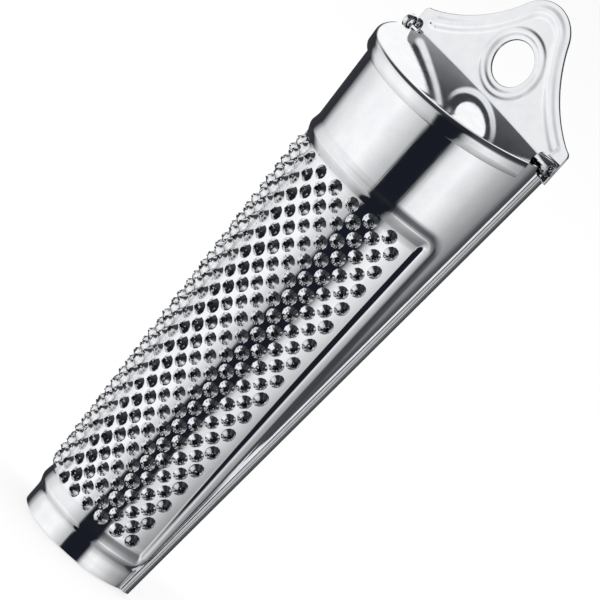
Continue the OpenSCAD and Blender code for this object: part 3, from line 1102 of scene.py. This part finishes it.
studio = dict(
    # camera place and axes, fitted to the photo
    camera=(0.542697, -0.832083, 0.258211),
    right=(0.56069, 0.51057, 0.65188),
    down=(0.63512, 0.23995, -0.7342),
    ahead=(-0.53128, 0.82568, -0.18973),
    lens=319.024,
    floorSize=6.0,
    floorLevel=-0.0003,
    floorTone=0.9,
    floorGlow=0.72,    # share of plain white in what the camera sees of the floor
    roomLight=0.75,
    # name, place, aim, size and power
    lamps=[("key_soft", (-0.6, -0.9, 0.8), (0, 0, 0.06), 0.5, 6.0),
           ("top_soft", (0.2, 0.2, 1.4), (0, 0, 0.05), 1.2, 9.0)],
    # two soft boxes that only the metal sees: level by turn from +X towards the front, and by height
    seamDeg=-124,
    rightBox=[(-124, 0.05), (-112, 0.12), (-92, 0.12), (-76, 0.05), (-59, 0.045), (-52, 0.08),
              (-44, 0.28), (-20, 0.5), (15, 1.0), (34, 0.88), (40, 0.5), (45, 0.0)],
    rightHeight=[(-0.95, 0.25), (-0.79, 0.4), (-0.4, 0.72), (-0.28, 1.0),
                 (-0.1, 0.6), (0.14, 0.14), (0.4, 0.05)],
    leftBox=[(73, 0.0), (77, 0.5), (85, 0.62), (112, 1.0),
             (148, 0.97), (178, 0.75), (194, 0.02), (236, 0.04)],
    leftHeight=[(-0.95, 0.5), (-0.7, 0.75), (-0.4, 1.0), (-0.27, 1.0),
                (-0.19, 0.88), (0.15, 0.92), (0.34, 0.5), (0.4, 0.14), (0.46, 0.04)],
    leftLean=[(-0.98, 45), (-0.85, 15), (-0.76, 0)],   # the box stands further round below eye level
    shade=(0.010, 0.012, 0.018),   # the dim room itself
    # pale wall behind the object: level by height, where it stands, level by how near to that
    wallHeight=[(0.1, 0.0), (0.3, 1.0)],
    wallAt=(-0.52, 0.685, 0.4),
    wall=[(0.0, 0.008), (0.6, 0.012), (0.85, 1.0)],
)


def makeCamera():
    data = bpy.data.cameras.new("photo_camera")
    data.sensor_width = 36.0
    data.lens = studio["lens"]
    data.clip_end = 20.0
    cam = bpy.data.objects.new("photo_camera", data)
    right, down, ahead = (Vector(studio[k]).normalized() for k in ("right", "down", "ahead"))
    turn = Matrix((right, -down, -ahead)).transposed()
    cam.matrix_world = Matrix.Translation(Vector(studio["camera"])) @ turn.to_4x4()
    bpy.context.scene.collection.objects.link(cam)
    bpy.context.scene.camera = cam


def stageMesh(name, points, faces, material):
    mesh = bpy.data.meshes.new(name)
    mesh.from_pydata(points, [], faces)
    mesh.materials.append(material)
    obj = bpy.data.objects.new(name, mesh)
    bpy.context.scene.collection.objects.link(obj)
    return obj


def floorMaterial():
    # near white to the camera, with part of the lit surface kept for the shadow
    mat = bpy.data.materials.new("studio_floor_white")
    mat.use_nodes = True
    tree = mat.node_tree
    tree.nodes.clear()
    rays = addNode(tree, "ShaderNodeLightPath")
    seen = mathOf(tree, "MAXIMUM", rays.outputs["Is Camera Ray"], rays.outputs["Is Glossy Ray"])
    share = mathOf(tree, "MULTIPLY", seen, studio["floorGlow"])
    lit = addNode(tree, "ShaderNodeBsdfDiffuse", Color=(*[studio["floorTone"]] * 3, 1))
    glow = addNode(tree, "ShaderNodeEmission", Strength=1.0)
    out = addNode(tree, "ShaderNodeOutputMaterial")
    tree.links.new(mixShaders(tree, share, lit.outputs[0], glow.outputs[0]), out.inputs["Surface"])
    return mat


def levelRamp(tree, value, stops):
    node = addNode(tree, "ShaderNodeValToRGB")
    ramp = node.color_ramp
    while len(ramp.elements) < len(stops):
        ramp.elements.new(0.5)
    for element, (at, level) in zip(ramp.elements, stops):
        element.position = at
        element.color = (level, level, level, 1)
    tree.links.new(value, node.inputs["Fac"])
    return node.outputs["Color"]


def makeWorld():
    # the camera sees plain white
    # the metal sees two soft boxes in a dim room, with a pale wall behind it
    world = bpy.data.worlds.new("studio_world")
    bpy.context.scene.world = world
    world.use_nodes = True
    tree = world.node_tree
    tree.nodes.clear()
    link = tree.links.new
    coord = addNode(tree, "ShaderNodeTexCoord")
    split = addNode(tree, "ShaderNodeSeparateXYZ")
    link(coord.outputs["Generated"], split.inputs[0])
    seam = studio["seamDeg"]
    forward = mathOf(tree, "MULTIPLY", split.outputs["Y"], -1.0)
    angle = mathOf(tree, "ARCTAN2", forward, split.outputs["X"])
    turn = mathOf(tree, "FRACT", mathOf(tree, "MULTIPLY_ADD", angle, 1 / (2 * math.pi), -seam / 360))
    height = mathOf(tree, "MULTIPLY_ADD", split.outputs["Z"], 0.5, 0.5)

    def byTurn(key, at):
        return levelRamp(tree, at, [((deg - seam) / 360, level) for deg, level in studio[key]])

    def byHeight(key):
        return levelRamp(tree, height, [(z / 2 + 0.5, level) for z, level in studio[key]])

    right = mathOf(tree, "MULTIPLY", byTurn("rightBox", turn), byHeight("rightHeight"))
    lean = levelRamp(tree, height, [(z / 2 + 0.5, deg / 360) for z, deg in studio["leftLean"]])
    leftTurn = mathOf(tree, "SUBTRACT", turn, lean)
    left = mathOf(tree, "MULTIPLY", byTurn("leftBox", leftTurn), byHeight("leftHeight"))
    toWall = addNode(tree, "ShaderNodeVectorMath", operation="DOT_PRODUCT")
    toWall.inputs[1].default_value = Vector(studio["wallAt"]).normalized()
    link(coord.outputs["Generated"], toWall.inputs[0])
    facing = levelRamp(tree, toWall.outputs["Value"], studio["wall"])
    wall = mathOf(tree, "MULTIPLY", facing, byHeight("wallHeight"))
    total = mathOf(tree, "MAXIMUM", mathOf(tree, "ADD", right, left), wall)
    boxes = addNode(tree, "ShaderNodeBackground", Strength=1.0)
    link(total, boxes.inputs["Color"])
    shade = addNode(tree, "ShaderNodeBackground", Strength=1.0, Color=(*studio["shade"], 1))
    seen = addNode(tree, "ShaderNodeAddShader")
    link(boxes.outputs[0], seen.inputs[0])
    link(shade.outputs[0], seen.inputs[1])
    soft = addNode(tree, "ShaderNodeBackground", Strength=studio["roomLight"], Color=(1, 1, 1, 1))
    plain = addNode(tree, "ShaderNodeBackground", Strength=1.0, Color=(1, 1, 1, 1))
    rays = addNode(tree, "ShaderNodeLightPath")
    forMetal = mixShaders(tree, rays.outputs["Is Glossy Ray"], soft.outputs[0], seen.outputs[0])
    forCamera = mixShaders(tree, rays.outputs["Is Camera Ray"], forMetal, plain.outputs[0])
    out = addNode(tree, "ShaderNodeOutputWorld")
    link(forCamera, out.inputs["Surface"])


def areaLamp(name, place, aim, size, power):
    data = bpy.data.lights.new(name, "AREA")
    data.size = size
    data.energy = power
    lamp = bpy.data.objects.new(name, data)
    lamp.location = place
    lamp.rotation_euler = (Vector(aim) - Vector(place)).to_track_quat("-Z", "Y").to_euler()
    lamp.visible_glossy = False   # the metal sees the room's soft boxes instead
    bpy.context.scene.collection.objects.link(lamp)


def makeStudio():
    half, level = studio["floorSize"] / 2, studio["floorLevel"]
    corners = [(-half, -half, level), (half, -half, level), (half, half, level), (-half, half, level)]
    floorObj = stageMesh("studio_floor", corners, [(0, 1, 2, 3)], floorMaterial())
    floorObj.visible_glossy = False
    for lamp in studio["lamps"]:
        areaLamp(*lamp)


makeCamera()
makeWorld()
makeStudio()
view = bpy.context.scene.view_settings
view.view_transform = "Standard"
print("studio ready")
